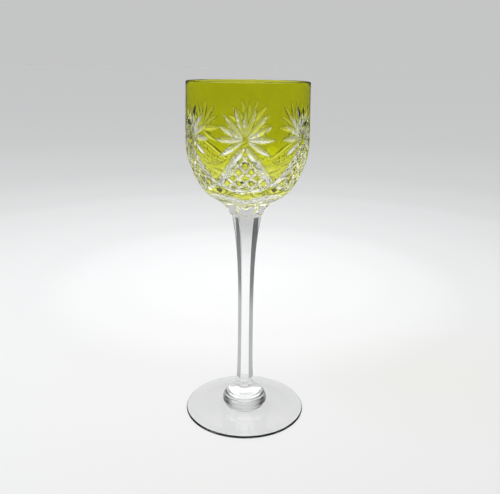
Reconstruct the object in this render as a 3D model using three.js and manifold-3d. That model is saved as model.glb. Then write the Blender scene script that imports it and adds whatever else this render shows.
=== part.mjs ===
// A tall wine glass of cased crystal. The clear bowl carries a thin yellow-green casing, and the cutter's
// wheel has gone through that casing in six palm fans, six hatched tents and a scalloped border.
// Below come six hollow flutes, a six-sided stem, a button knop, a merese and a plain disc foot.
// Millimetres, +Z up. The origin is the centre of the underside of the foot, and -Y is the front.
import * as THREE from "three";
import { mergeVertices } from "three/addons/utils/BufferGeometryUtils.js";
import Module from "manifold-3d";

// Repeats and joints
const SECTORS = 6; // fans, tents, flutes and sides of the stem
const SEAM = 0.1; // gap left at every fused joint
const ROUND_SIDES = 36; // sides of a turned form
const EDGE_STEPS = 4; // steps round a half-round edge

// Foot
const FOOT_RADIUS = 36.6;
const FOOT_EDGE = 1.9; // thickness at the outer edge
const FOOT_RISE = 0.6; // how far its top climbs towards the merese
const FOOT_HOLLOW = 1; // depth of the hollow underneath, at the axis
const FOOT_RING_WIDTH = 6; // the flat ring that the glass stands on

// Merese, the flat collar between foot and knop
const MERESE_RADIUS = 12.1;
const MERESE_HEIGHT = 2.1;

// Button knop
const KNOP_RADIUS = 13.7;
const KNOP_CROWN = 10.57; // upright half-axis of its domed upper half
const KNOP_UNDER = 3.4; // upright half-axis of its rounded lower half
const KNOP_DROP = 1.8; // from its widest line down to the merese
const KNOP_SEAT_MARGIN = 0.3; // flat seat left round the stem

// Six-sided stem, measured over its corners
const STEM_LENGTH = 109.75;
const STEM_FOOT_RADIUS = 5.7;
const STEM_WAIST_RADIUS = 4.6;
const STEM_TOP_RADIUS = 9;
const STEM_WAIST_HEIGHT = 48; // above the knop
const STEM_FOOT_SWEEP = 9; // upright reach of the flare at the bottom
const STEM_TOP_SWEEP = 14; // upright reach of the flare at the top
const STEM_TOP_SPREAD = 3.5; // how far the top flare leans out over that reach
const STEM_WAIST_SWEEP = 27; // upright reach of the waist's curve
const STEM_STEPS = 9; // along each half of the stem

// Bowl
const BOWL_HEIGHT = 73.9;
const RIM_RADIUS = 34;
const BELLY_RADIUS = 34.5;
const BELLY_HEIGHT = 42; // widest line, above the stem
const BASE_RADIUS = 12.2;
const BASE_LEAN = 11.4; // how far the side leans out as it leaves the base
const BASE_CLIMB = 10.8; // and how far it climbs over that lean
const BELLY_PULL = 18; // upright reach of the curve below the belly
const WALL = 1.5; // clear glass at the rim
const LIP_HEIGHT = 0.5; // rounded clear lip above the casing
const INSIDE_FLOOR = 17; // lowest point of the inside, above the stem
const INSIDE_TURN = 44; // where the inside leaves its straight wall
const CURVED_STEP = 6; // between rows of its outline below the belly
const STRAIGHT_STEP = 32; // and above it

// Casing of coloured glass
const CASING = 0.4;
const CASING_START = 13; // along the bowl's side from its base

// Flutes under the bowl, measured over the ridges between them
const FLUTE_FOOT_RADIUS = 10.6;
const FLUTE_BEND_RADIUS = 12.4;
const FLUTE_BEND_HEIGHT = 8.8;
const FLUTE_TOP_RADIUS = 33.8;
const FLUTE_HEIGHT = 16.2;
const FLUTE_SAG = 0.045; // hollow at both ends of a flute, per millimetre of ridge radius
const FLUTE_HOLLOW = 0.06; // added to it halfway up
const FLUTE_SIDES = 6; // sides across one flute

// Run-out of the stem's flat sides into the bowl
const RUNOUT_RADIUS = 33;
const RUNOUT_BEND_RADIUS = 9.4;
const RUNOUT_HEIGHT = 1.2;

// Palm fan: the tilt of each leaf above the horizontal, in degrees, its length and its width
const FAN_CENTRE = 53.2; // along the bowl's side
const MIDDLE_LEAF = { tilt: 90, length: 15.2, width: 2.5 };
const SIDE_LEAVES = [
  { tilt: -32, length: 16.2, width: 3.6 },
  { tilt: -1, length: 16.4, width: 3.75 },
  { tilt: 25.5, length: 16, width: 3.3 },
  { tilt: 47, length: 17.5, width: 2.8 },
  { tilt: 71, length: 17.4, width: 2.5 },
];

// Tent with its hatching, and the scalloped border under it
const TENT_APEX = 49.5; // where its two side cuts cross, along the bowl's side
const TENT_CORNER = 25.6; // where they meet those of the next tents
const TENT_OVERRUN = 2; // how far a side cut runs on past apex and corner
const BORDER_OVERRUN = 1; // how far a scallop runs on into the next
const TENT_CUT_WIDTH = 3.9;
const BORDER_LOW = 23; // lowest point of the border, along the bowl's side
const BORDER_HIGH = 27.7; // where two scallops of it meet
const BORDER_WIDTH = 4.3; // in the middle of a scallop
const BORDER_THINNING = 0.6; // share of width and depth that a scallop loses to its ends
const HATCH_CROSSING = 35.8; // a crossing of the hatching on the tent's middle line
const HATCH_ACROSS = 6.4; // from crossing to crossing round the bowl
const HATCH_ALONG = 7.1; // and along its side
const HATCH_WIDTH = 2.4;
const HATCH_SHORTEST = 5; // cuts shorter than this, in the tent's lower corners, are left out
const HATCH_WEB = 0.14; // casing left under the hatching, so each tent stays one piece

// The wheel's cut
const CUT_BITE = 0.55; // how far below the casing a cut through it would reach
const CUT_CLEARANCE = 0.8; // how far a cutting form stands above the glass
const SLIVER = 0.02; // facets thinner than this are cleared from the cut casing

const CRYSTAL = 0xe8edf0;
const CHARTREUSE = 0xb4bb1e;

const wasm = await Module();
wasm.setup();

// Heights of the joints, from the foot up
const mereseBottom = FOOT_EDGE + FOOT_RISE + SEAM;
const knopBottom = mereseBottom + MERESE_HEIGHT + SEAM;
const knopMiddle = knopBottom + KNOP_DROP;
const knopSeat = STEM_FOOT_RADIUS + KNOP_SEAT_MARGIN;
const knopCrown = KNOP_CROWN * Math.sqrt(1 - (knopSeat / KNOP_RADIUS) ** 2);
const stemBottom = knopMiddle + knopCrown + SEAM;
const bowlBottom = stemBottom + STEM_LENGTH + SEAM;

const sector = (2 * Math.PI) / SECTORS;
const cutDepth = CASING + CUT_BITE;
const hatchDepth = CASING - HATCH_WEB;
const v2 = (radius, height) => new THREE.Vector2(radius, height);

// Curve of the bowl's outer side in radius and height above the stem, from its base to the rim
const bowlSide = new THREE.CurvePath();
const upperReach = (BOWL_HEIGHT - BELLY_HEIGHT) / 3;
bowlSide.add(
  new THREE.CubicBezierCurve(
    v2(BASE_RADIUS, 0),
    v2(BASE_RADIUS + BASE_LEAN, BASE_CLIMB),
    v2(BELLY_RADIUS, BELLY_HEIGHT - BELLY_PULL),
    v2(BELLY_RADIUS, BELLY_HEIGHT),
  ),
);
bowlSide.add(
  new THREE.CubicBezierCurve(
    v2(BELLY_RADIUS, BELLY_HEIGHT),
    v2(BELLY_RADIUS, BELLY_HEIGHT + upperReach),
    v2(RIM_RADIUS, BOWL_HEIGHT - upperReach),
    v2(RIM_RADIUS, BOWL_HEIGHT),
  ),
);
const sideLength = bowlSide.getLength();
const bellyAlong = bowlSide.curves[0].getLength();
const casingEnd = sideLength - LIP_HEIGHT;

// A point of the bowl's side, moved outwards along its normal
function sidePoint(along, out) {
  const share = THREE.MathUtils.clamp(along / sideLength, 0, 1);
  const point = bowlSide.getPointAt(share);
  const tangent = bowlSide.getTangentAt(share);
  return v2(point.x + tangent.y * out, point.y - tangent.x * out);
}

// That point turned to an angle round the bowl, where 0 is the front
function onBowl(angle, along, out = 0) {
  const p = sidePoint(along, out);
  return new THREE.Vector3(p.x * Math.sin(angle), -p.x * Math.cos(angle), p.y);
}

// Rows of the bowl's outline along its side, first below the casing and then under it
const rowsBetween = (start, end, step) => {
  const steps = Math.ceil((end - start) / step);
  return Array.from({ length: steps }, (_, i) => start + ((end - start) * i) / steps);
};
const baseRows = rowsBetween(0, CASING_START, CURVED_STEP);
const casingRows = [
  ...rowsBetween(CASING_START, bellyAlong, CURVED_STEP),
  ...rowsBetween(bellyAlong, casingEnd, STRAIGHT_STEP),
  casingEnd,
];
const sideOutline = (rows, out) => rows.map((along) => sidePoint(along, out));

// Solid for cutting and joining, from a closed geometry
function solid(geometry) {
  geometry.deleteAttribute("normal");
  geometry.deleteAttribute("uv");
  const merged = mergeVertices(geometry);
  return new wasm.Manifold(
    new wasm.Mesh({
      numProp: 3,
      vertProperties: new Float32Array(merged.attributes.position.array),
      triVerts: new Uint32Array(merged.index.array),
    }),
  );
}

// Solid turned from an outline of radius and height that starts at the bottom and goes round outside first
function turned(outline) {
  return solid(new THREE.LatheGeometry(outline, ROUND_SIDES).rotateX(Math.PI / 2));
}

// Solid through rings of equally many points that run anticlockwise, seen from the last ring
function loft(rings) {
  const count = rings[0].length;
  const last = (rings.length - 1) * count;
  const indices = [];
  for (let start = 0; start < last; start += count) {
    for (let j = 0; j < count; j++) {
      const a = start + j;
      const b = start + ((j + 1) % count);
      indices.push(a, b, b + count, a, b + count, a + count);
    }
  }
  for (let j = 1; j + 1 < count; j++) {
    indices.push(0, j + 1, j);
    indices.push(last, last + j, last + j + 1);
  }
  return solid(new THREE.BufferGeometry().setFromPoints(rings.flat()).setIndex(indices));
}

// Level ring of points whose radius depends on the angle round the glass
function levelRing(count, firstAngle, height, radiusAt) {
  return Array.from({ length: count }, (_, i) => {
    const angle = firstAngle + (i * 2 * Math.PI) / count;
    const radius = radiusAt(angle);
    return new THREE.Vector3(radius * Math.sin(angle), -radius * Math.cos(angle), height);
  });
}

// Level ring with the stem's six corners, each midway between two fans
const sixSidedRing = (height, radius) => levelRing(SECTORS, sector / 2, height, () => radius);

// Foot: a thin disc with a rounded edge, hollowed underneath inside a flat ring
function foot() {
  const HOLLOW_STEPS = 3;
  const edge = FOOT_EDGE / 2;
  const ringOuter = FOOT_RADIUS - edge;
  const ringInner = ringOuter - FOOT_RING_WIDTH;
  const hollow = new THREE.QuadraticBezierCurve(
    v2(0, FOOT_HOLLOW),
    v2(ringInner / 2, FOOT_HOLLOW),
    v2(ringInner, 0),
  );
  const roundEdge = new THREE.EllipseCurve(ringOuter, edge, edge, edge, -Math.PI / 2, Math.PI / 2);
  const top = FOOT_EDGE + FOOT_RISE;
  const below = [...hollow.getPoints(HOLLOW_STEPS), ...roundEdge.getPoints(EDGE_STEPS)];
  return turned([...below, v2(MERESE_RADIUS, top), v2(0, top)]);
}

// Merese: a flat collar with a rounded rim
function merese() {
  const half = MERESE_HEIGHT / 2;
  const rim = new THREE.EllipseCurve(MERESE_RADIUS - half, half, half, half, -Math.PI / 2, Math.PI / 2);
  return turned([v2(0, 0), ...rim.getPoints(EDGE_STEPS), v2(0, MERESE_HEIGHT)]);
}

// Knop: a flattened ball round its own middle, cut level on the merese and under the stem
function knop() {
  const UNDER_STEPS = 3;
  const CROWN_STEPS = 6;
  const under = new THREE.EllipseCurve(0, 0, KNOP_RADIUS, KNOP_UNDER, -Math.asin(KNOP_DROP / KNOP_UNDER), 0);
  const crown = new THREE.EllipseCurve(0, 0, KNOP_RADIUS, KNOP_CROWN, 0, Math.acos(knopSeat / KNOP_RADIUS));
  const outline = [...under.getPoints(UNDER_STEPS), ...crown.getPoints(CROWN_STEPS).slice(1)];
  return turned([v2(0, -KNOP_DROP), ...outline, v2(0, knopCrown)]);
}

// Stem: six flat sides, drawn in to a waist and flared at both ends
function stem() {
  const waist = v2(STEM_WAIST_RADIUS, STEM_WAIST_HEIGHT);
  const lower = new THREE.CubicBezierCurve(
    v2(STEM_FOOT_RADIUS, 0),
    v2(STEM_WAIST_RADIUS, STEM_FOOT_SWEEP),
    v2(STEM_WAIST_RADIUS, STEM_WAIST_HEIGHT - STEM_WAIST_SWEEP),
    waist,
  );
  const upper = new THREE.CubicBezierCurve(
    waist,
    v2(STEM_WAIST_RADIUS, STEM_WAIST_HEIGHT + STEM_WAIST_SWEEP),
    v2(STEM_TOP_RADIUS - STEM_TOP_SPREAD, STEM_LENGTH - STEM_TOP_SWEEP),
    v2(STEM_TOP_RADIUS, STEM_LENGTH),
  );
  const outline = [...lower.getPoints(STEM_STEPS), ...upper.getPoints(STEM_STEPS).slice(1)];
  return loft(outline.map((p) => sixSidedRing(p.y, p.x)));
}

// Envelope left by the six flutes: hollow sides between six sharp ridges, closing in towards the stem
function flutedEnvelope() {
  const STEPS = 5;
  const ridge = new THREE.QuadraticBezierCurve(
    v2(FLUTE_FOOT_RADIUS, 0),
    v2(FLUTE_BEND_RADIUS, FLUTE_BEND_HEIGHT),
    v2(FLUTE_TOP_RADIUS, FLUTE_HEIGHT),
  );
  const across = (angle, height) => {
    const fromMiddle = THREE.MathUtils.euclideanModulo(angle, sector) - sector / 2;
    const flat = Math.cos(sector / 2) / Math.cos(fromMiddle);
    const up = Math.min(height / FLUTE_HEIGHT, 1);
    const sag = FLUTE_SAG + FLUTE_HOLLOW * Math.sin(Math.PI * up) ** 2;
    return flat - sag * (1 - (fromMiddle / (sector / 2)) ** 2);
  };
  const ring = (radius, height) =>
    levelRing(SECTORS * FLUTE_SIDES, 0, height, (angle) => radius * across(angle, height));
  const rise = ridge.getTangent(1);
  const above = BOWL_HEIGHT + CUT_CLEARANCE - FLUTE_HEIGHT;
  const top = ridge.getPoint(1).addScaledVector(rise, above / rise.y);
  return loft([...ridge.getPoints(STEPS).map((p) => ring(p.x, p.y)), ring(top.x, top.y)]);
}

// Envelope left where the stem's flat sides run out into the bowl
function runoutEnvelope() {
  const STEPS = 6;
  const corner = new THREE.QuadraticBezierCurve(
    v2(STEM_TOP_RADIUS, 0),
    v2(RUNOUT_BEND_RADIUS, RUNOUT_HEIGHT / 2),
    v2(RUNOUT_RADIUS, RUNOUT_HEIGHT),
  );
  const clear = 2 * BELLY_RADIUS;
  const rings = corner.getPoints(STEPS).map((p) => sixSidedRing(p.y, p.x));
  rings.push(sixSidedRing(RUNOUT_HEIGHT + SEAM, clear));
  rings.push(sixSidedRing(BOWL_HEIGHT + CUT_CLEARANCE, clear));
  return loft(rings);
}

// Bowl: clear glass under the casing, with a rounded lip, a round inside and fluted underside
function bowl(envelope) {
  const INSIDE_STEPS = 7;
  const outside = sideOutline([...baseRows, ...casingRows], -CASING - SEAM);
  const lipOuter = RIM_RADIUS - CASING - SEAM;
  const lipMiddle = lipOuter - WALL / 2;
  const lipFoot = BOWL_HEIGHT - LIP_HEIGHT;
  const lip = new THREE.EllipseCurve(lipMiddle, lipFoot, WALL / 2, LIP_HEIGHT, 0, Math.PI);
  const inside = new THREE.EllipseCurve(
    0,
    INSIDE_TURN,
    lipOuter - WALL,
    INSIDE_TURN - INSIDE_FLOOR,
    0,
    -Math.PI / 2,
    true,
  );
  const outline = [v2(0, 0), v2(outside[0].x, 0), ...outside.slice(1), ...lip.getPoints(EDGE_STEPS).slice(1)];
  return turned([...outline, ...inside.getPoints(INSIDE_STEPS)])
    .intersect(envelope)
    .intersect(runoutEnvelope());
}

// V-shaped cutting form along a route on the bowl. The route gives, for each share of its length, the
// angle round the glass, the place along the side and the share of the full depth.
function cut(route, steps, width, fullDepth) {
  const NEAR = 0.01;
  const flank = width / 2 / fullDepth;
  const place = (t) => onBowl(...route(THREE.MathUtils.clamp(t, 0, 1)).slice(0, 2));
  const rings = Array.from({ length: steps + 1 }, (_, i) => {
    const [angle, along, share] = route(i / steps);
    const depth = share * fullDepth;
    const point = onBowl(angle, along);
    const normal = onBowl(angle, along, 1).sub(point);
    const ahead = place(i / steps + NEAR).sub(place(i / steps - NEAR));
    const across = normal.clone().cross(ahead).setLength((depth + CUT_CLEARANCE) * flank);
    const above = point.clone().addScaledVector(normal, CUT_CLEARANCE);
    const bottom = point.clone().addScaledVector(normal, -depth);
    return [above.clone().add(across), above.clone().sub(across), bottom];
  });
  return loft(rings);
}

// Angle round the glass for a distance round the bowl's side
const angleAt = (distance, along) => distance / sidePoint(along, 0).x;

// Depth of a leaf, which the round wheel leaves at both ends
const leafDepth = (t) => 4 * t * (1 - t);

// Depth of a long cut, full but for a short run-out at each end
const longDepth = (t) => 1 - Math.abs(2 * t - 1) ** 10;

// Depth of a scallop of the border, deepest in its middle
const scallopDepth = (t) => 1 - BORDER_THINNING * (2 * t - 1) ** 2;

// One leaf of the fan
function leaf({ tilt, length, width }) {
  const STEPS = 3;
  const turn = THREE.MathUtils.degToRad(tilt);
  const route = (t) => {
    const along = FAN_CENTRE + t * length * Math.sin(turn);
    return [angleAt(t * length * Math.cos(turn), along), along, leafDepth(t)];
  };
  return cut(route, STEPS, width, cutDepth);
}

// The fan's leaves, left and right of the upright one
function fan() {
  const mirrored = SIDE_LEAVES.map((side) => ({ ...side, tilt: 180 - side.tilt }));
  return [MIDDLE_LEAF, ...SIDE_LEAVES, ...mirrored].map(leaf);
}

// One side of the tent as angle and place along the bowl's side, with its overrun at both ends
function tentSide(side) {
  const STEPS = 6;
  const height = TENT_APEX - TENT_CORNER;
  const over = TENT_OVERRUN / Math.hypot(height, onBowl(sector / 2, TENT_CORNER).x);
  const route = (t) => {
    const down = -over + t * (1 + 2 * over);
    return [(side * down * sector) / 2, TENT_APEX - down * height, longDepth(t)];
  };
  return cut(route, STEPS, TENT_CUT_WIDTH, cutDepth);
}

// Place of the border along the bowl's side, hanging from corner to corner
const borderAt = (angle) => BORDER_LOW + (BORDER_HIGH - BORDER_LOW) * (angle / (sector / 2)) ** 2;

// One scallop of the border, under its tent
function border() {
  const STEPS = 7;
  const over = angleAt(BORDER_OVERRUN, BORDER_HIGH);
  const route = (t) => {
    const angle = (2 * t - 1) * (sector / 2 + over);
    return [angle, borderAt(angle), scallopDepth(t)];
  };
  return cut(route, STEPS, BORDER_WIDTH, cutDepth);
}

// Whether a place lies inside the tent, between its side cuts and the border
function insideTent(angle, along) {
  const reach = ((TENT_APEX - along) / (TENT_APEX - TENT_CORNER)) * (sector / 2);
  return Math.abs(angle) < reach && along > borderAt(angle);
}

// Hatching: shallow cuts that lean both ways across the tent, from side cut to side cut
function hatching() {
  const SAMPLE = 0.05;
  const HATCH_STEP = 5;
  const lines = Math.ceil((TENT_APEX - BORDER_LOW) / HATCH_ALONG);
  const forms = [];
  for (const lean of [-1, 1]) {
    for (let k = -lines; k <= lines; k++) {
      const place = (along) => {
        const distance = k * HATCH_ACROSS + (lean * (along - HATCH_CROSSING) * HATCH_ACROSS) / HATCH_ALONG;
        return [angleAt(distance, along), along];
      };
      const rows = rowsBetween(BORDER_LOW, TENT_APEX, SAMPLE);
      const inside = rows.filter((along) => insideTent(...place(along)));
      const start = inside[0];
      const end = inside.at(-1);
      if (!(end - start > HATCH_SHORTEST)) continue;
      const steps = Math.ceil((end - start) / HATCH_STEP);
      forms.push(cut((t) => [...place(start + t * (end - start)), 1], steps, HATCH_WIDTH, hatchDepth));
    }
  }
  return forms;
}

// Casing, cut through by the wheel into an upper field, six tents and a base band
function casingPieces(envelope) {
  const outside = sideOutline(casingRows, 0);
  const inside = sideOutline(casingRows, -CASING).reverse();
  const whole = turned([...outside, ...inside, outside[0]]).intersect(envelope);
  const motif = [...fan(), tentSide(-1), tentSide(1), border(), ...hatching()];
  let left = whole;
  for (let k = 0; k < SECTORS; k++) {
    const turn = [0, 0, THREE.MathUtils.radToDeg(k * sector)];
    for (const form of motif) left = left.subtract(form.rotate(turn));
  }
  const heightOf = (form) => form.boundingBox().max[2];
  const angleOf = (form) => {
    const { min, max } = form.boundingBox();
    const angle = Math.atan2(min[0] + max[0], -min[1] - max[1]);
    return THREE.MathUtils.euclideanModulo(angle + sector / 2, 2 * Math.PI);
  };
  const islands = left.asOriginal().simplify(SLIVER).decompose();
  const [upper, ...rest] = islands.sort((a, b) => heightOf(b) - heightOf(a));
  const band = rest.pop();
  return { upper, tents: rest.sort((a, b) => angleOf(a) - angleOf(b)), band };
}

// Mesh of a solid, under its own name
function piece(name, form, finish) {
  const { numProp, vertProperties, triVerts } = form.getMesh();
  const geometry = new THREE.BufferGeometry();
  const corners = new THREE.InterleavedBuffer(vertProperties, numProp);
  geometry.setAttribute("position", new THREE.InterleavedBufferAttribute(corners, 3, 0));
  geometry.setIndex(new THREE.BufferAttribute(triVerts, 1));
  const mesh = new THREE.Mesh(geometry, finish.clone());
  mesh.name = name;
  return mesh;
}

// Pieces set one above the other in a group of their own
function stack(height, ...meshes) {
  const level = new THREE.Group().add(...meshes);
  level.position.z = height;
  return level;
}

const glassFinish = { roughness: 0.03, metalness: 0, flatShading: true, transparent: true };
const crystal = new THREE.MeshStandardMaterial({ ...glassFinish, color: CRYSTAL, opacity: 0.45 });
const coloured = new THREE.MeshStandardMaterial({ ...glassFinish, color: CHARTREUSE, opacity: 0.75 });

const envelope = flutedEnvelope();
const casing = casingPieces(envelope);

const glass = new THREE.Group();
glass.add(
  stack(0, piece("foot", foot(), crystal)),
  stack(mereseBottom, piece("merese", merese(), crystal)),
  stack(knopMiddle, piece("knop", knop(), crystal)),
  stack(stemBottom, piece("stem", stem(), crystal)),
  stack(
    bowlBottom,
    piece("bowl", bowl(envelope), crystal),
    piece("casing_upper", casing.upper, coloured),
    ...casing.tents.map((tent, i) => piece(`casing_tent_${i + 1}`, tent, coloured)),
    piece("casing_base_band", casing.band, coloured),
  ),
);

export default glass;
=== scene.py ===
import math

import bpy
import numpy as np
from mathutils import Matrix, Vector


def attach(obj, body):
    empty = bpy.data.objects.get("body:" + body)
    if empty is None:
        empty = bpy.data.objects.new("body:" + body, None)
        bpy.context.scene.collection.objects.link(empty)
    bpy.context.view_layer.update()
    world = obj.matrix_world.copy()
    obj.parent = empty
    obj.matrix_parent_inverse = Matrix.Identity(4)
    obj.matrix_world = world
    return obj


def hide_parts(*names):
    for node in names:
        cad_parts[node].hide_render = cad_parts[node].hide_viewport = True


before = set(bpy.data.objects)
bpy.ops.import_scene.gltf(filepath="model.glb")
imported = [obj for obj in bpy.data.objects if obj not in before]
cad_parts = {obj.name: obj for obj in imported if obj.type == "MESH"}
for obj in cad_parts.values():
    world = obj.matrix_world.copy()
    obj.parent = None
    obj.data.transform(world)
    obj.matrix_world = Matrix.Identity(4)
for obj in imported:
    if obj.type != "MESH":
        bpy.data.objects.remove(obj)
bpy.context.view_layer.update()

# Sizes in millimetres. The origin is the middle of the underside of the foot.
MM = 0.001
SECTORS = 6
SECTOR = 2 * math.pi / SECTORS
ROUND = 180  # points round a turned form
SMOOTH_ANGLE = math.radians(14)  # a sharper corner than this stays a crisp edge

FOOT_RADIUS = 36.6
FOOT_EDGE = 1.9
FOOT_RISE = 0.6
FOOT_HOLLOW = 1
FOOT_RING_WIDTH = 6
JOIN = 0.02  # fine line under the merese
MERESE_RADIUS = 12.1
MERESE_HEIGHT = 2.1
KNOP_RADIUS = 13.7
KNOP_CROWN = 10.57  # half heights of the crown's ellipse and of the one under it
KNOP_UNDER = 3.4
KNOP_DROP = 1.8  # from the widest place down to the merese
KNOP_SEAT = 6.0  # radius at which the crown ends under the stem
KNOP_RINGS = [  # soft grooves round the crown: height, depth, half width
    (3.4, 0.6, 0.6),
    (6.2, 0.4, 0.5),
]
STEM_LENGTH = 110.15
STEM_FOOT_RADIUS = 5.7
STEM_WAIST_RADIUS = 4.6
STEM_TOP_RADIUS = 9
STEM_WAIST_HEIGHT = 48
STEM_FOOT_SWEEP = 9
STEM_TOP_SWEEP = 14
STEM_TOP_SPREAD = 3.5
STEM_WAIST_SWEEP = 27
STEM_EDGE = 0.3  # polished radius of the stem's six edges

BOWL_HEIGHT = 73.9
RIM_RADIUS = 34
BELLY_RADIUS = 34.5
BELLY_HEIGHT = 42
BASE_RADIUS = 12.2  # the next three say how the side's curve leaves the base and nears the belly
BASE_LEAN = 11.4
BASE_CLIMB = 10.8
BELLY_PULL = 18
WALL = 1.9
LIP_HEIGHT = 0.5
INSIDE_FLOOR = 14
INSIDE_TURN = 44  # height at which the straight inside turns into its round bottom
CASING = 0.3
CASING_START = 13
FINE_END = 49  # up to here along the side, rows of points lie closer together

FLUTE_FOOT_RADIUS = 10.6
FLUTE_BEND_RADIUS = 12.4
FLUTE_BEND_HEIGHT = 8.8
FLUTE_TOP_RADIUS = 33.8
FLUTE_HEIGHT = 16.2
FLUTE_SAG = 0.045  # hollow of a flute at its ends, as a share of the radius
FLUTE_HOLLOW = 0.14  # what its middle has more
RUNOUT_RADIUS = 33
RUNOUT_BEND_RADIUS = 9.4
RUNOUT_HEIGHT = 1.2

# Cuts of the wheel; a place is a length along the bowl's side, from the stem up
FAN_CENTRE = 52.6
LEAVES = [  # tilt above the horizontal in degrees, length, width
    (-32, 16.4, 4.2),
    (-1, 16.6, 4.3),
    (25.5, 16.2, 4.0),
    (47, 17.7, 3.8),
    (71, 17.6, 3.5),
]
MIDDLE_LEAF = (90, 15.8, 3.3)
LEAF_WIDEST = 0.52  # share of the length from the fan's centre
LEAF_SWELL = 0.9  # power with which a leaf deepens towards its widest place
LEAF_DEPTH = 1.0
TENT_APEX = 49.5
TENT_CORNER = 25.6
TENT_CUT_WIDTH = 4.5
TENT_CUT_DEPTH = 1.35
TENT_START = 0.015  # start, deepening and running out, as shares of the length of a tent's side
TENT_RUN_IN = 0.2
TENT_RUN_OUT = 0.12
BORDER_LOW = 23.0
BORDER_HIGH = 27.7
BORDER_WIDTH = 4.3
BORDER_DEPTH = 1.3
BORDER_OVERLAP = 1.03  # each scallop runs a little into the next
BORDER_TAPER = 0.62  # share of the depth that is lost towards its ends
BORDER_TAPER_POWER = 1.7
HATCH_CROSSING = 35.8  # where two hatch lines cross in the middle of a tent
HATCH_ACROSS = 6.4  # spacing of the lines, round the bowl and along its side
HATCH_ALONG = 7.1
HATCH_WIDTH = 2.8
HATCH_DEPTH = 0.75
HATCH_FADE = 1.6  # length over which a line runs out
HATCH_SHORTEST = 2.5
SHALLOW = 0.02  # least share of the depth, at the ends of a cut
CLEARANCE = 0.3  # how far a cutting form stands above the glass

# Studio, in metres and as brightness
LIGHT_POOL = (0, 0.25, 0)  # middle of the pool of light painted on the table
TABLE_RADIUS = 60
TABLE_GAP = 0.0002  # the table lies this far under the foot
TABLE_PAINTED_LIGHT = [  # painted light: the table's colour by the distance from the brightest place
    (0.0, 0.93), (0.10, 0.90), (0.15, 0.87), (0.23, 0.80),
    (0.39, 0.75), (0.46, 0.705), (0.70, 0.655), (1.35, 0.626),
]
TABLE_MIRRORED_PAINTED_SHADE = [(0.38, 1.0), (0.75, 0.1)]  # painted shade: what the glass mirrors of these tones is darkened, by the same distance
# Tones of the room by the height of the look
WALL_BACK = [(0.0, 0.56), (0.12, 0.56), (0.3, 0.58), (0.5, 0.9), (0.72, 1.25)]
WALL_SIDES = [(0.0, 0.56), (0.12, 0.56), (0.24, 0.03), (0.5, 0.03), (0.72, 1.25)]
WALLS_MIRRORED = [(0.0, 0.06), (0.5, 0.06), (0.72, 0.62)]
BACK_FROM, BACK_FULL = 0.65, 0.95  # where the side walls turn into the back wall
CARD_FOOT = (0.017, 0.004)  # distance from the axis and height, below and above
CARD_HEAD = (0.02, 0.1245)
CARD_BEARING = 50  # degrees round the glass, from straight behind it
CARD_WIDTH = 50
CARD_STEPS = 8
CARD_RIGHT = [(0.0, 0.3), (0.02, 0.42), (0.06, 0.40), (0.085, 0.13), (0.12, 0.06)]  # by the height
CARD_LEFT = [(0.0, 0.3), (0.02, 0.40), (0.055, 0.36), (0.08, 0.1), (0.12, 0.05)]
CAMERA_LENS = 43.92
CAMERA_DISTANCE = 0.3439
CAMERA_HEIGHT = 0.2079
CAMERA_BEARING = math.radians(2)
CAMERA_PITCH = math.radians(16.57)
CAMERA_YAW = math.radians(0.36)
CAMERA_ROLL = math.radians(0.78)

MERESE_BOTTOM = FOOT_EDGE + FOOT_RISE
KNOP_BOTTOM = MERESE_BOTTOM + MERESE_HEIGHT
KNOP_MIDDLE = KNOP_BOTTOM + KNOP_DROP
KNOP_TOP = KNOP_CROWN * math.sqrt(1 - (KNOP_SEAT / KNOP_RADIUS) ** 2)
STEM_BOTTOM = KNOP_MIDDLE + KNOP_TOP
BOWL_BOTTOM = STEM_BOTTOM + STEM_LENGTH


# Materials: every glass surface is one interface, and a fused joint has none
GLASS_IOR = 1.53
PASSED = 0.96  # share of the light that one surface lets through


def new_material(name):
    material = bpy.data.materials.new(name)
    material.use_nodes = True
    material.node_tree.nodes.clear()
    return material, material.node_tree.nodes, material.node_tree.links


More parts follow.
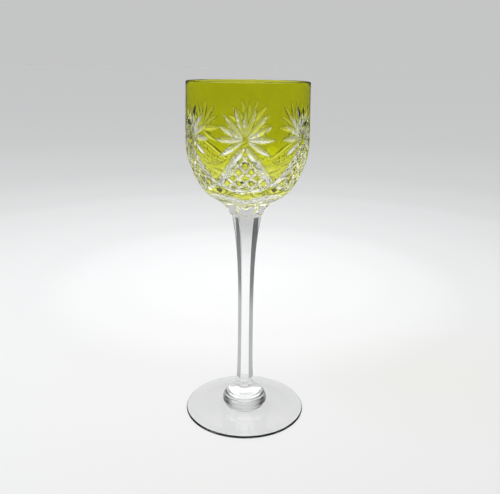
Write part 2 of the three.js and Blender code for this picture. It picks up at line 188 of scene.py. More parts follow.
def glass_material(name, dark, light, wave_scale, wave_height, roughness=0.0):
    """Polished glass with a faint drift of colour and the slight waviness of hand work."""
    material, nodes, links = new_material(name)
    out = nodes.new("ShaderNodeOutputMaterial")
    shader = nodes.new("ShaderNodeBsdfPrincipled")
    shader.inputs["Transmission Weight"].default_value = 1.0
    shader.inputs["Roughness"].default_value = roughness
    shader.inputs["IOR"].default_value = GLASS_IOR
    place = nodes.new("ShaderNodeTexCoord")
    drift = nodes.new("ShaderNodeTexNoise")
    drift.inputs["Scale"].default_value = 38.0
    drift.inputs["Detail"].default_value = 2.0
    ramp = nodes.new("ShaderNodeValToRGB")
    ramp.color_ramp.elements[0].position = 0.3
    ramp.color_ramp.elements[0].color = (*dark, 1)
    ramp.color_ramp.elements[1].position = 0.7
    ramp.color_ramp.elements[1].color = (*light, 1)
    wave = nodes.new("ShaderNodeTexNoise")
    wave.inputs["Scale"].default_value = wave_scale
    wave.inputs["Detail"].default_value = 1.0
    bump = nodes.new("ShaderNodeBump")
    bump.inputs["Strength"].default_value = 1.0
    bump.inputs["Distance"].default_value = wave_height * MM
    links.new(place.outputs["Object"], drift.inputs["Vector"])
    links.new(place.outputs["Object"], wave.inputs["Vector"])
    links.new(drift.outputs["Fac"], ramp.inputs["Fac"])
    links.new(ramp.outputs["Color"], shader.inputs["Base Color"])
    links.new(wave.outputs["Fac"], bump.inputs["Height"])
    links.new(bump.outputs["Normal"], shader.inputs["Normal"])
    passed = nodes.new("ShaderNodeBsdfTransparent")
    passed.inputs["Color"].default_value = (*[PASSED * math.sqrt(c) for c in light], 1)
    path = nodes.new("ShaderNodeLightPath")
    mix = nodes.new("ShaderNodeMixShader")
    either = nodes.new("ShaderNodeMath")
    either.operation = "MAXIMUM"
    links.new(path.outputs["Is Shadow Ray"], either.inputs[0])
    links.new(path.outputs["Is Diffuse Ray"], either.inputs[1])
    links.new(either.outputs["Value"], mix.inputs["Fac"])
    links.new(shader.outputs["BSDF"], mix.inputs[1])
    links.new(passed.outputs["BSDF"], mix.inputs[2])
    links.new(mix.outputs["Shader"], out.inputs["Surface"])
    return material


def seam_material():
    """Face of a fused joint, where light passes from glass to glass."""
    material, nodes, links = new_material("fused_seam")
    out = nodes.new("ShaderNodeOutputMaterial")
    clear = nodes.new("ShaderNodeBsdfTransparent")
    links.new(clear.outputs["BSDF"], out.inputs["Surface"])
    return material


crystal = glass_material("crystal", (0.975, 0.98, 0.98), (0.99, 0.99, 0.99), 60, 0.02)
# the cut faces' yellow-green tint is a painted reflection: it stands in for the coloured casing that the cuts
# mirror inside the glass
cut_glass = glass_material("crystal_cut", (0.90, 0.92, 0.66), (0.96, 0.97, 0.84), 260, 0.02, 0.09)
leaf_glass = glass_material("crystal_leaf", (0.90, 0.92, 0.82), (0.97, 0.975, 0.94), 260, 0.02, 0.16)
coloured = glass_material("casing_colour", (0.57, 0.60, 0.004), (0.63, 0.655, 0.008), 45, 0.03)
edge_glass = glass_material("casing_edge", (0.36, 0.40, 0.003), (0.46, 0.50, 0.005), 260, 0.02)
seam = seam_material()
MATERIALS = [crystal, cut_glass, leaf_glass, coloured, edge_glass, seam]
CLEAR, CUT, LEAF, COLOUR, EDGE, SEAM = range(6)


# Meshes from points, faces, a material per face and a normal per face corner
def new_object(name, points, faces, face_materials, corner_normals=None):
    mesh = bpy.data.meshes.new(name)
    mesh.from_pydata((np.asarray(points) * MM).tolist(), [], faces)
    for material in MATERIALS:
        mesh.materials.append(material)
    mesh.polygons.foreach_set("material_index", np.asarray(face_materials, dtype=np.int32))
    mesh.shade_smooth()
    if corner_normals is not None:
        mesh.normals_split_custom_set(np.asarray(corner_normals).tolist())
    obj = bpy.data.objects.new(name, mesh)
    bpy.context.scene.collection.objects.link(obj)
    return obj


def segment_normals(outline):
    """Normals of an outline at both ends of each segment, smooth where it bends gently."""
    outline = np.asarray(outline, float)
    run = np.diff(outline, axis=0)
    flat = np.stack([run[:, 1], -run[:, 0]], axis=1)
    flat /= np.maximum(np.linalg.norm(flat, axis=1, keepdims=True), 1e-12)
    start, end = flat.copy(), flat.copy()
    for i in range(len(flat) - 1):
        if np.dot(flat[i], flat[i + 1]) > math.cos(SMOOTH_ANGLE):
            mean = flat[i] + flat[i + 1]
            mean /= np.linalg.norm(mean)
            end[i] = start[i + 1] = mean
    return start, end


def turned(name, outline, materials, base=0.0, exact=True):
    """Solid turned from an outline of radius and height, with a material for each of its segments."""
    outline = np.asarray(outline, float)
    start, end = segment_normals(outline)
    angles = np.arange(ROUND) * 2 * math.pi / ROUND
    around = np.stack([np.sin(angles), -np.cos(angles)], axis=1)
    points, rows, faces, face_materials, normals = [], [], [], [], []
    for i, (radius, height) in enumerate(outline):
        if i and np.allclose(outline[i], outline[0]):
            rows.append(rows[0])
        elif radius < 1e-6:
            rows.append([len(points)] * ROUND)
            points.append((0, 0, base + height))
        else:
            rows.append(list(range(len(points), len(points) + ROUND)))
            points.extend((radius * s, radius * c, base + height) for s, c in around)

    def normal(flat, j):
        return (flat[0] * around[j][0], flat[0] * around[j][1], flat[1])

    for i in range(len(outline) - 1):
        low, high = rows[i], rows[i + 1]
        for j in range(ROUND):
            k = (j + 1) % ROUND
            corners = [(low[j], start[i], j), (low[k], start[i], k), (high[k], end[i], k), (high[j], end[i], j)]
            if low[j] == low[k]:
                corners.pop(0)
            elif high[j] == high[k]:
                corners.pop(3)
            faces.append([c[0] for c in corners])
            normals.extend(normal(flat, at) for _, flat, at in corners)
            face_materials.append(materials[i])
    return new_object(name, points, faces, face_materials, normals if exact else None)


def loft(rings):
    """Points and faces of a closed form through rings of equally many points."""
    rings = np.asarray(rings, float)
    steps, count = rings.shape[:2]
    faces = []
    for i in range(steps - 1):
        for j in range(count):
            a, b = i * count + j, i * count + (j + 1) % count
            faces.append([a, b, b + count, a + count])
    last = (steps - 1) * count
    faces.append(list(range(count - 1, -1, -1)))
    faces.append(list(range(last, last + count)))
    return rings.reshape(-1, 3), faces


def joined(forms):
    points, faces = [], []
    for form_points, form_faces in forms:
        offset = sum(len(p) for p in points)
        points.append(form_points)
        faces.extend([[i + offset for i in face] for face in form_faces])
    return np.concatenate(points), faces


# The bowl's side: a curve of radius and height above the stem
def bezier(points, steps):
    t = np.linspace(0, 1, steps + 1)[:, None]
    p = [np.asarray(q, float) for q in points]
    if len(p) == 3:
        return (1 - t) ** 2 * p[0] + 2 * (1 - t) * t * p[1] + t**2 * p[2]
    return (1 - t) ** 3 * p[0] + 3 * (1 - t) ** 2 * t * p[1] + 3 * (1 - t) * t**2 * p[2] + t**3 * p[3]


def arc(centre, radii, first, last, steps):
    t = np.linspace(first, last, steps + 1)
    return np.stack([centre[0] + radii[0] * np.cos(t), centre[1] + radii[1] * np.sin(t)], axis=1)


upper_reach = (BOWL_HEIGHT - BELLY_HEIGHT) / 3
lower_side = [(BASE_RADIUS, 0), (BASE_RADIUS + BASE_LEAN, BASE_CLIMB),
              (BELLY_RADIUS, BELLY_HEIGHT - BELLY_PULL), (BELLY_RADIUS, BELLY_HEIGHT)]
upper_side = [(BELLY_RADIUS, BELLY_HEIGHT), (BELLY_RADIUS, BELLY_HEIGHT + upper_reach),
              (RIM_RADIUS, BOWL_HEIGHT - upper_reach), (RIM_RADIUS, BOWL_HEIGHT)]
side = np.concatenate([bezier(lower_side, 800), bezier(upper_side, 500)[1:]])
side_along = np.concatenate([[0], np.cumsum(np.hypot(*np.diff(side, axis=0).T))])
side_run = np.gradient(side, axis=0)
side_run /= np.linalg.norm(side_run, axis=1, keepdims=True)
SIDE_LENGTH = side_along[-1]
CASING_END = SIDE_LENGTH - LIP_HEIGHT


def on_side(values, along):
    return np.stack([np.interp(along, side_along, column) for column in values.T], axis=-1)


def side_point(along, out=0.0):
    place, run = on_side(side, along), on_side(side_run, along)
    return place + out * np.stack([run[..., 1], -run[..., 0]], axis=-1)


def on_bowl(angle, along, out=0.0):
    p = side_point(along, out)
    return np.stack([p[..., 0] * np.sin(angle), -p[..., 0] * np.cos(angle), p[..., 1]], axis=-1)


def angle_at(distance, along):
    return distance / side_point(along)[..., 0]


# Cutting forms, V-shaped in section, along routes on the bowl
def cut(route, steps, width, depth):
    """route gives for shares of the length the angle, the place along the side and the share of the depth."""
    t = np.linspace(0, 1, steps + 1)
    angle, along, share = route(t)
    point = on_bowl(angle, along)
    normal = on_bowl(angle, along, 1.0) - point
    near = 0.004  # step of the length over which the direction is taken
    ahead = on_bowl(*route(np.minimum(t + near, 1))[:2]) - on_bowl(*route(np.maximum(t - near, 0))[:2])
    across = np.cross(normal, ahead)
    across /= np.linalg.norm(across, axis=1, keepdims=True)
    deep = (share * depth)[:, None]
    flank = width / 2 / depth
    above = point + CLEARANCE * normal
    reach = (deep + CLEARANCE) * flank
    rings = np.stack([above + reach * across, above - reach * across, point - deep * normal], axis=1)
    return loft(rings)


def leaf(tilt, length, width, steps=26):
    turn = math.radians(tilt)

    def route(t):
        along = FAN_CENTRE + t * length * math.sin(turn)
        beyond = LEAF_SWELL * (1 / LEAF_WIDEST - 1)
        share = (t / LEAF_WIDEST) ** LEAF_SWELL * ((1 - t) / (1 - LEAF_WIDEST)) ** beyond
        return angle_at(t * length * math.cos(turn), along), along, share

    return cut(route, steps, width, LEAF_DEPTH)


def tent_side(hand, steps=44):
    def route(t):
        down = TENT_START + t * (1 - TENT_START)
        run_in = np.clip(t / TENT_RUN_IN, 0, 1)
        run_out = np.clip((t - (1 - TENT_RUN_OUT)) / TENT_RUN_OUT, 0, 1)
        share = np.sqrt(1 - (1 - run_in) ** 2) * (1 - run_out**2)
        along = TENT_APEX - down * (TENT_APEX - TENT_CORNER)
        return hand * down * SECTOR / 2, along, np.maximum(share, SHALLOW)

    return cut(route, steps, TENT_CUT_WIDTH, TENT_CUT_DEPTH)


def border_at(angle):
    return BORDER_LOW + (BORDER_HIGH - BORDER_LOW) * (angle / (SECTOR / 2)) ** 2


def border(steps=48):
    def route(t):
        angle = (2 * t - 1) * SECTOR / 2 * BORDER_OVERLAP
        share = 1 - BORDER_TAPER * np.abs(2 * t - 1) ** BORDER_TAPER_POWER
        return angle, border_at(angle), share

    return cut(route, steps, BORDER_WIDTH, BORDER_DEPTH)


def hatching(lean, steps=20):
    forms = []
    reach = math.ceil((TENT_APEX - BORDER_LOW) / HATCH_ALONG)
    sample = np.linspace(BORDER_LOW, TENT_APEX, 1600)
    for k in range(-reach, reach + 1):

        def place(along):
            distance = k * HATCH_ACROSS + lean * (along - HATCH_CROSSING) * HATCH_ACROSS / HATCH_ALONG
            return angle_at(distance, along)

        angle = place(sample)
        limit = (TENT_APEX - sample) / (TENT_APEX - TENT_CORNER) * SECTOR / 2
        limit = limit - angle_at(TENT_CUT_WIDTH / 4, sample)
        inside = sample[(np.abs(angle) < limit) & (sample > border_at(angle))]
        if len(inside) < 2 or inside[-1] - inside[0] < HATCH_SHORTEST:
            continue
        first, last = inside[0], inside[-1]

        def route(t):
            along = first + t * (last - first)
            fade = np.clip(np.minimum(t, 1 - t) * (last - first) / HATCH_FADE, SHALLOW, 1)
            return place(along), along, fade

        forms.append(cut(route, steps, HATCH_WIDTH, HATCH_DEPTH))
    return joined(forms)


def turned_about(form, angle):
    points, faces = form
    c, s = math.cos(angle), math.sin(angle)
    turn = np.array([[c, -s, 0], [s, c, 0], [0, 0, 1]])
    return points @ turn.T, faces


def cutter(name, form, material, sectors):
    points, faces = joined([turned_about(form, k * SECTOR) for k in sectors])
    points = points + (0, 0, BOWL_BOTTOM)
    return new_object(name, points, faces, [material] * len(faces))


def level_ring(count, first, height, radius_at):
    angle = first + np.arange(count) * 2 * math.pi / count
    radius = radius_at(angle)
    return np.stack([radius * np.sin(angle), -radius * np.cos(angle), np.full(count, height)], axis=1)


def fluted_envelope():
    across_steps, rows = 20, 26
    ridge = bezier([(FLUTE_FOOT_RADIUS, 0), (FLUTE_BEND_RADIUS, FLUTE_BEND_HEIGHT),
                    (FLUTE_TOP_RADIUS, FLUTE_HEIGHT)], rows)

    def share(angle, height):
        from_middle = np.mod(angle, SECTOR) - SECTOR / 2
        flat = math.cos(SECTOR / 2) / np.cos(from_middle)
        hollow = FLUTE_SAG + FLUTE_HOLLOW * math.sin(math.pi * min(height / FLUTE_HEIGHT, 1)) ** 2
        return flat - hollow * (1 - (from_middle / (SECTOR / 2)) ** 2)

    rise = ridge[-1] - ridge[-2]
    top = ridge[-1] + rise * ((BOWL_HEIGHT + 2 - FLUTE_HEIGHT) / rise[1])
    rings = [level_ring(SECTORS * across_steps, 0, h, lambda a: r * share(a, h)) for r, h in [*ridge, top]]
    rings[0][:, 2] -= 0.5
    points, faces = loft(rings)
    return new_object("envelope", points + (0, 0, BOWL_BOTTOM), faces, [CLEAR] * len(faces))


def runout_envelope():
    corner = bezier([(STEM_TOP_RADIUS, 0), (RUNOUT_BEND_RADIUS, RUNOUT_HEIGHT / 2),
                     (RUNOUT_RADIUS, RUNOUT_HEIGHT)], 24)
    outline = [*corner, (2 * BELLY_RADIUS, RUNOUT_HEIGHT + 0.1), (2 * BELLY_RADIUS, BOWL_HEIGHT + 2)]
    rings = [level_ring(SECTORS, SECTOR / 2, h, lambda a: np.full(len(a), r)) for r, h in outline]
    rings[0][:, 2] -= 0.5
    points, faces = loft(rings)
    return new_object("runout", points + (0, 0, BOWL_BOTTOM), faces, [CLEAR] * len(faces))


def boolean(obj, tool, operation):
    modifier = obj.modifiers.new("cut", "BOOLEAN")
    modifier.operation = operation
    modifier.solver = "MANIFOLD"
    modifier.object = tool
    modifier.material_mode = "INDEX"
    evaluated = obj.evaluated_get(bpy.context.evaluated_depsgraph_get())
    mesh = bpy.data.meshes.new_from_object(evaluated)
    obj.modifiers.clear()
    old = obj.data
    obj.data = mesh
    bpy.data.meshes.remove(old)


def remove(*objects):
    for obj in objects:
        mesh = obj.data
        bpy.data.objects.remove(obj)
        bpy.data.meshes.remove(mesh)


# The plain turned pieces
def foot():
    edge = FOOT_EDGE / 2
    ring_outer = FOOT_RADIUS - edge
    ring_inner = ring_outer - FOOT_RING_WIDTH
    hollow = bezier([(0, FOOT_HOLLOW), (ring_inner / 2, FOOT_HOLLOW), (ring_inner, 0)], 20)
    rim = arc((ring_outer, edge), (edge, edge), -math.pi / 2, math.pi / 2, 16)
    top = FOOT_EDGE + FOOT_RISE
    slope = bezier([rim[-1], (ring_outer * 0.6, FOOT_EDGE + 0.1), (MERESE_RADIUS, top)], 24)
    under_merese = MERESE_RADIUS - MERESE_HEIGHT / 2
    outline = [*hollow, *rim, *slope[1:], (under_merese, top), (0, top)]
    return turned("foot_glass", outline, [CLEAR] * (len(outline) - 1))


def merese():
    half = MERESE_HEIGHT / 2
    rim = arc((MERESE_RADIUS - half, half), (half, half), -math.pi / 2, math.pi / 2, 14)
    seat = KNOP_RADIUS * math.sqrt(1 - (KNOP_DROP / KNOP_UNDER) ** 2)
    outline = [(0, 0), *rim, (seat, MERESE_HEIGHT), (0, MERESE_HEIGHT)]
    return turned("merese_glass", outline, [CLEAR] * (len(outline) - 2) + [SEAM], MERESE_BOTTOM + JOIN)


def knop():
    under = arc((0, 0), (KNOP_RADIUS, KNOP_UNDER), -math.asin(KNOP_DROP / KNOP_UNDER), 0, 14)
    crown = arc((0, 0), (KNOP_RADIUS, KNOP_CROWN), 0, math.acos(KNOP_SEAT / KNOP_RADIUS), 64)
    for height, depth, half in KNOP_RINGS:
        crown[1:, 0] -= depth * np.exp(-(((crown[1:, 1] - height) / half) ** 2))
    under_stem = STEM_FOOT_RADIUS * 0.93  # between the stem's flat sides and its edges
    outline = [(0, -KNOP_DROP), *under, *crown[1:], (under_stem, KNOP_TOP), (0, KNOP_TOP)]
    materials = [SEAM] + [CLEAR] * (len(outline) - 3) + [SEAM]
    return turned("knop_glass", outline, materials, KNOP_MIDDLE + 2 * JOIN)


def stem():
    waist = (STEM_WAIST_RADIUS, STEM_WAIST_HEIGHT)
    lower = bezier([(STEM_FOOT_RADIUS, 0), (STEM_WAIST_RADIUS, STEM_FOOT_SWEEP),
                    (STEM_WAIST_RADIUS, STEM_WAIST_HEIGHT - STEM_WAIST_SWEEP), waist], 30)
    upper = bezier([waist, (STEM_WAIST_RADIUS, STEM_WAIST_HEIGHT + STEM_WAIST_SWEEP),
                    (STEM_TOP_RADIUS - STEM_TOP_SPREAD, STEM_LENGTH - STEM_TOP_SWEEP),
                    (STEM_TOP_RADIUS, STEM_LENGTH)], 40)
    outline = np.concatenate([lower, upper[1:]])
    lean = np.gradient(outline[:, 0]) / np.gradient(outline[:, 1])
    bend = 5  # steps round each polished edge
    rings, normals = [], []
    for (radius, height), slope in zip(outline, lean):
        ring = []
        inner = radius - STEM_EDGE / math.cos(SECTOR / 2)
        for k in range(SECTORS):
            corner = (k + 0.5) * SECTOR
            for i in range(bend + 1):
                turn = corner - SECTOR / 2 + SECTOR * i / bend
                x = inner * math.sin(corner) + STEM_EDGE * math.sin(turn)
                y = -inner * math.cos(corner) - STEM_EDGE * math.cos(turn)
                ring.append((x, y, STEM_BOTTOM + height))
                normal = Vector((math.sin(turn), -math.cos(turn), -slope * math.cos(SECTOR / 2)))
                normals.append(tuple(normal.normalized()))
        rings.append(ring)
    points, faces = loft(rings)
    corner_normals = [normals[v] for face in faces[:-2] for v in face]
    corner_normals += [(0, 0, -1)] * len(ring) + [(0, 0, 1)] * len(ring)
    return new_object("stem_glass", points, faces, [CLEAR] * (len(faces) - 2) + [SEAM, SEAM], corner_normals)


# Bowl and casing before any cut
def rows_along(first, rows):
    """Places along the side up to the lip, with so many rows below FINE_END."""
    return np.concatenate([np.linspace(first, FINE_END, rows), np.linspace(FINE_END, CASING_END, 14)[1:]])


def bowl_blank():
    outside = side_point(rows_along(0, 44), -CASING)
    outside[0, 1] = 0
    outside[-1, 1] = BOWL_HEIGHT - LIP_HEIGHT
    lip_outer = outside[-1, 0]
    lip = arc((lip_outer - WALL / 2, BOWL_HEIGHT - LIP_HEIGHT), (WALL / 2, LIP_HEIGHT), 0, math.pi, 14)
    inside = arc((0, INSIDE_TURN), (lip_outer - WALL, INSIDE_TURN - INSIDE_FLOOR), 0, -math.pi / 2, 40)
    straight = [(lip_outer - WALL, z) for z in np.linspace(BOWL_HEIGHT - LIP_HEIGHT, INSIDE_TURN, 12)[1:-1]]
    outline = [(0, 0), *outside, *lip[1:], *straight, *inside]
    outline[-1] = (0, INSIDE_FLOOR)
    materials = [SEAM] * len(outside) + [COLOUR] * (len(lip) - 1)
    materials += [CLEAR] * (len(outline) - 1 - len(materials))
    return turned("bowl_glass", outline, materials, BOWL_BOTTOM, exact=False)


def casing_blank():
    along = rows_along(CASING_START, 34)
    outside, inside = side_point(along), side_point(along, -CASING)
    outline = [*outside, *inside[::-1], outside[0]]
    materials = [COLOUR] * (len(outside) - 1) + [CUT] + [SEAM] * (len(inside) - 1) + [CUT]
    return turned("casing_glass", outline, materials, BOWL_BOTTOM, exact=False)


def decorate(*blanks):
    """Takes the flutes and every cut of the wheel from the bowl and from its casing."""
    for envelope in (fluted_envelope(), runout_envelope()):
        for blank in blanks:
            boolean(blank, envelope, "INTERSECT")
        remove(envelope)
    leaves = [MIDDLE_LEAF, *LEAVES, *[(180 - tilt, length, width) for tilt, length, width in LEAVES]]
    every = range(SECTORS)
    tools = [(leaf(*values), LEAF, every) for values in leaves]
    tools += [(tent_side(hand), LEAF, every) for hand in (-1, 1)]
    tools += [(border(), CUT, range(first, SECTORS, 2)) for first in (0, 1)]
    tools += [(hatching(lean), CUT, every) for lean in (-1, 1)]
    for form, material, sectors in tools:
        tool = cutter("wheel", form, material, sectors)
        for blank in blanks:
            boolean(blank, tool, "DIFFERENCE")
        remove(tool)


# Smooth normals: exact on the casing's outer side, by angle elsewhere
def mesh_arrays(mesh):
    points = np.empty(len(mesh.vertices) * 3, np.float32)
    mesh.vertices.foreach_get("co", points)
    mesh.shade_smooth()
    mesh.set_sharp_from_angle(angle=SMOOTH_ANGLE)
    normals = np.empty(len(mesh.loops) * 3, np.float32)
    mesh.corner_normals.foreach_get("vector", normals)
    corners = np.empty(len(mesh.loops), np.int32)
    mesh.loops.foreach_get("vertex_index", corners)
    starts = np.empty(len(mesh.polygons), np.int32)
    mesh.polygons.foreach_get("loop_start", starts)
    totals = np.empty(len(mesh.polygons), np.int32)
    mesh.polygons.foreach_get("loop_total", totals)
    materials = np.empty(len(mesh.polygons), np.int32)
    mesh.polygons.foreach_get("material_index", materials)
    return points.reshape(-1, 3) / MM, corners, starts, totals, materials, normals.reshape(-1, 3)


def outside_normals(points):
    """Normals of the bowl's outer side at points on it."""
    height = points[:, 2] - BOWL_BOTTOM
    run = np.stack([np.interp(height, side[:, 1], column) for column in side_run.T], axis=1)
    radius = np.maximum(np.hypot(points[:, 0], points[:, 1]), 1e-9)
    return np.stack([run[:, 1] * points[:, 0] / radius, run[:, 1] * points[:, 1] / radius, -run[:, 0]], axis=1)


def keep_normals(obj):
    """Fixes the normals that are smooth by angle."""
    *_, normals = mesh_arrays(obj.data)
    obj.data.normals_split_custom_set(normals.tolist())


def loose_parts(points, corners, starts, totals):
    """Number of the connected part that each face belongs to."""
    parent = np.arange(len(points))

    def find(i):
        while parent[i] != i:
            parent[i] = parent[parent[i]]
            i = parent[i]
        return i

    for s, n in zip(starts, totals):
        first = find(corners[s])
        for c in corners[s + 1:s + n]:
            other = find(c)
            if other != first:
                parent[other] = first
    return np.array([find(corners[s]) for s in starts])


def island_name(cloud):
    """Node that a connected part of the casing belongs to, from its points."""
    high = cloud[:, 2].max() - BOWL_BOTTOM
    if high > BOWL_HEIGHT - 5:
        return "casing_upper"
    wider_than_tents = np.ptp(cloud[:, 0]) > 2 * BASE_RADIUS + 20
    if wider_than_tents or high < side_point(BORDER_LOW)[1]:
        return "casing_base_band"
    middle = cloud.mean(axis=0)
    angle = math.atan2(middle[0], -middle[1])
    nearest = round(angle / SECTOR)
    below_apex = TENT_APEX - np.interp(middle[2] - BOWL_BOTTOM, side[:, 1], side_along)
    if abs(angle - SECTOR * nearest) < below_apex / (TENT_APEX - TENT_CORNER) * SECTOR / 2:
        return f"casing_tent_{nearest % SECTORS + 1}"
    return "casing_upper"


def casing_islands(obj):
    """The casing's islands as pieces of their own: the upper field, six tents and the base band."""
    points, corners, starts, totals, materials, normals = mesh_arrays(obj.data)
    of_face = np.repeat(np.arange(len(starts)), totals)
    chosen = materials[of_face] == COLOUR
    normals[chosen] = outside_normals(points[corners[chosen]])
    materials[(materials == CUT) | (materials == LEAF)] = EDGE
    part = loose_parts(points, corners, starts, totals)
    groups = {}
    for number in np.unique(part):
        mine = np.flatnonzero(part == number)
        used = np.unique(corners[np.isin(of_face, mine)])
        groups.setdefault(island_name(points[used]), []).append(mine)
    made = []
    for name, lists in groups.items():
        mine = np.sort(np.concatenate(lists))
        loops = np.concatenate([np.arange(starts[f], starts[f] + totals[f]) for f in mine])
        used, local = np.unique(corners[loops], return_inverse=True)
        ends = np.cumsum(totals[mine])
        faces = [local[e - n:e].tolist() for e, n in zip(ends, totals[mine])]
        made.append((new_object(name + "_glass", points[used], faces, materials[mine], normals[loops]), name))
    return made


def settle(obj, node):
    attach(obj, "root")
    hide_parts(node)


bowl = bowl_blank()
casing = casing_blank()
decorate(bowl, casing)
keep_normals(bowl)
islands = casing_islands(casing)
remove(casing)
for made, node in ((foot(), "foot"), (merese(), "merese"), (knop(), "knop"), (stem(), "stem"), (bowl, "bowl")):
    settle(made, node)
for made, node in islands:
    settle(made, node)


# Camera, placed where the photograph was taken from
def camera():
    data = bpy.data.cameras.new("camera")
    data.lens = CAMERA_LENS
    data.sensor_width = 36
    data.clip_start = 0.01
    data.clip_end = 50
    obj = bpy.data.objects.new("camera", data)
    bpy.context.scene.collection.objects.link(obj)
    across, back = math.sin(CAMERA_BEARING), math.cos(CAMERA_BEARING)
    obj.location = (CAMERA_DISTANCE * across, -CAMERA_DISTANCE * back, CAMERA_HEIGHT)
    heading = Matrix.Rotation(CAMERA_BEARING - CAMERA_YAW, 4, "Z")
    tilt = Matrix.Rotation(math.pi / 2 - CAMERA_PITCH, 4, "X")
    obj.rotation_euler = (heading @ tilt @ Matrix.Rotation(CAMERA_ROLL, 4, "Z")).to_euler()
    bpy.context.scene.camera = obj


# Tones given at places along an axis, blended softly between them
def tone_ramp(nodes, links, axis, tones):
    first, last = tones[0][0], tones[-1][0]
    share = nodes.new("ShaderNodeMapRange")
    share.inputs["From Min"].default_value = first
    share.inputs["From Max"].default_value = last
    ramp = nodes.new("ShaderNodeValToRGB")
    ramp.color_ramp.interpolation = "EASE"
    while len(ramp.color_ramp.elements) < len(tones):
        ramp.color_ramp.elements.new(0.5)
    for element, (at, _) in zip(ramp.color_ramp.elements, tones):
        element.position = (at - first) / (last - first)
    for element, (_, tone) in zip(ramp.color_ramp.elements, tones):
        element.color = (tone * 0.995, tone, tone * 1.005, 1)
    links.new(axis, share.inputs["Value"])
    links.new(share.outputs["Result"], ramp.inputs["Fac"])
    return ramp.outputs["Color"]


def mixed(nodes, links, factor, first, second, blend="MIX"):
    """Colour of a Mix node, whose colours are its inputs 6 and 7 and its output 2."""
    mix = nodes.new("ShaderNodeMix")
    mix.data_type = "RGBA"
    mix.blend_type = blend
    links.new(factor, mix.inputs["Factor"])
    links.new(first, mix.inputs[6])
    links.new(second, mix.inputs[7])
    return mix.outputs[2]


# Pale table with a pool of light painted into its colour behind the glass; what the glass mirrors of it is
# painted darker with the distance
def table():
    material, nodes, links = new_material("table")
    out = nodes.new("ShaderNodeOutputMaterial")
    shader = nodes.new("ShaderNodeBsdfPrincipled")
    shader.inputs["Roughness"].default_value = 0.6
    shader.inputs["Specular IOR Level"].default_value = 0.2
    place = nodes.new("ShaderNodeTexCoord")
    away = nodes.new("ShaderNodeVectorMath")
    away.operation = "DISTANCE"
    away.inputs[1].default_value = LIGHT_POOL
    links.new(place.outputs["Object"], away.inputs[0])
    # painted pool of light on the table, and painted shade on the far table where the glass mirrors it
    seen = tone_ramp(nodes, links, away.outputs["Value"], TABLE_PAINTED_LIGHT)
    dim = tone_ramp(nodes, links, away.outputs["Value"], TABLE_MIRRORED_PAINTED_SHADE)
    path = nodes.new("ShaderNodeLightPath")
    tone = mixed(nodes, links, path.outputs["Is Reflection Ray"], seen, dim, "MULTIPLY")
    links.new(tone, shader.inputs["Base Color"])
    links.new(shader.outputs["BSDF"], out.inputs["Surface"])
    mesh = bpy.data.meshes.new("table")
    angles = np.linspace(0, 2 * math.pi, 96, endpoint=False)
    edge = [(TABLE_RADIUS * math.cos(a), TABLE_RADIUS * math.sin(a), -TABLE_GAP) for a in angles]
    mesh.from_pydata(edge, [], [list(range(len(edge)))])
    mesh.materials.append(material)
    obj = bpy.data.objects.new("table", mesh)
    bpy.context.scene.collection.objects.link(obj)


# Dark studio card beside the stem, which gives it a dark side; it is seen through glass only
def card(name, bearing, tones):
    material, nodes, links = new_material(name)
    out = nodes.new("ShaderNodeOutputMaterial")
    glow = nodes.new("ShaderNodeEmission")
    place = nodes.new("ShaderNodeTexCoord")
    split = nodes.new("ShaderNodeSeparateXYZ")
    links.new(place.outputs["Object"], split.inputs["Vector"])
    ramp = tone_ramp(nodes, links, split.outputs["Z"], tones)
    links.new(ramp, glow.inputs["Color"])
    links.new(glow.outputs["Emission"], out.inputs["Surface"])
    turns = [math.radians(bearing + CARD_WIDTH * (i / CARD_STEPS - 0.5)) for i in range(CARD_STEPS + 1)]
    rings = [[(d * math.sin(t), d * math.cos(t), z) for t in turns] for d, z in (CARD_FOOT, CARD_HEAD)]
    mesh = bpy.data.meshes.new(name)
    row = len(turns)
    faces = [[i, i + 1, i + 1 + row, i + row] for i in range(CARD_STEPS)]
    mesh.from_pydata(rings[0] + rings[1], [], faces)
    mesh.materials.append(material)
    obj = bpy.data.objects.new(name, mesh)
    obj.visible_camera = obj.visible_diffuse = obj.visible_glossy = obj.visible_shadow = False
    bpy.context.scene.collection.objects.link(obj)


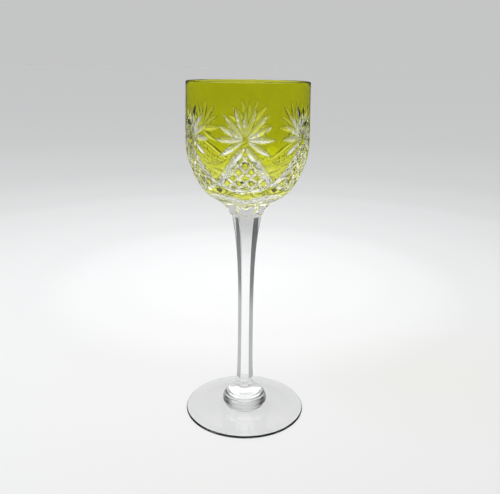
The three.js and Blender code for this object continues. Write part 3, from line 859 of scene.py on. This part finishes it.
# Soft studio room: a pale wall behind, dark side walls and a bright ceiling; the glass mirrors dim walls
def room():
    world = bpy.data.worlds.new("room")
    bpy.context.scene.world = world
    world.use_nodes = True
    nodes, links = world.node_tree.nodes, world.node_tree.links
    nodes.clear()
    out = nodes.new("ShaderNodeOutputWorld")
    glow = nodes.new("ShaderNodeBackground")
    path = nodes.new("ShaderNodeLightPath")
    place = nodes.new("ShaderNodeTexCoord")
    split = nodes.new("ShaderNodeSeparateXYZ")
    links.new(place.outputs["Generated"], split.inputs["Vector"])
    behind = nodes.new("ShaderNodeMapRange")
    behind.inputs["From Min"].default_value = BACK_FROM
    behind.inputs["From Max"].default_value = BACK_FULL
    links.new(split.outputs["Y"], behind.inputs["Value"])
    sides, back, dim = [tone_ramp(nodes, links, split.outputs["Z"], tones)
                        for tones in (WALL_SIDES, WALL_BACK, WALLS_MIRRORED)]
    walls = mixed(nodes, links, behind.outputs["Result"], sides, back)
    seen = mixed(nodes, links, path.outputs["Is Reflection Ray"], walls, dim)
    links.new(seen, glow.inputs["Color"])
    links.new(glow.outputs["Background"], out.inputs["Surface"])


def soft_lamp(name, place, size, power):
    data = bpy.data.lights.new(name, "AREA")
    data.shape = "RECTANGLE"
    data.size, data.size_y = size
    data.energy = power
    obj = bpy.data.objects.new(name, data)
    obj.location = place
    obj.rotation_euler = (Vector((0, 0, 0.1)) - Vector(place)).to_track_quat("-Z", "Y").to_euler()
    bpy.context.scene.collection.objects.link(obj)


# Wide overhead light for the table, kept out of what the glass mirrors
def sky_light(strength):
    data = bpy.data.lights.new("sky", "SUN")
    data.energy = strength
    data.angle = math.radians(110)
    obj = bpy.data.objects.new("sky", data)
    obj.rotation_euler = (math.radians(8), math.radians(-14), 0)
    obj.visible_glossy = obj.visible_transmission = False
    bpy.context.scene.collection.objects.link(obj)


camera()
table()
sky_light(strength=1.85)
room()
card("card_right", CARD_BEARING, CARD_RIGHT)
card("card_left", -CARD_BEARING, CARD_LEFT)
soft_lamp("window", place=(-0.75, -0.25, 0.95), size=(0.5, 0.7), power=3.7)
scene = bpy.context.scene
scene.view_settings.view_transform = "Standard"
scene.cycles.max_bounces = 24
scene.cycles.transmission_bounces = 24
scene.cycles.transparent_max_bounces = 24
scene.cycles.glossy_bounces = 8
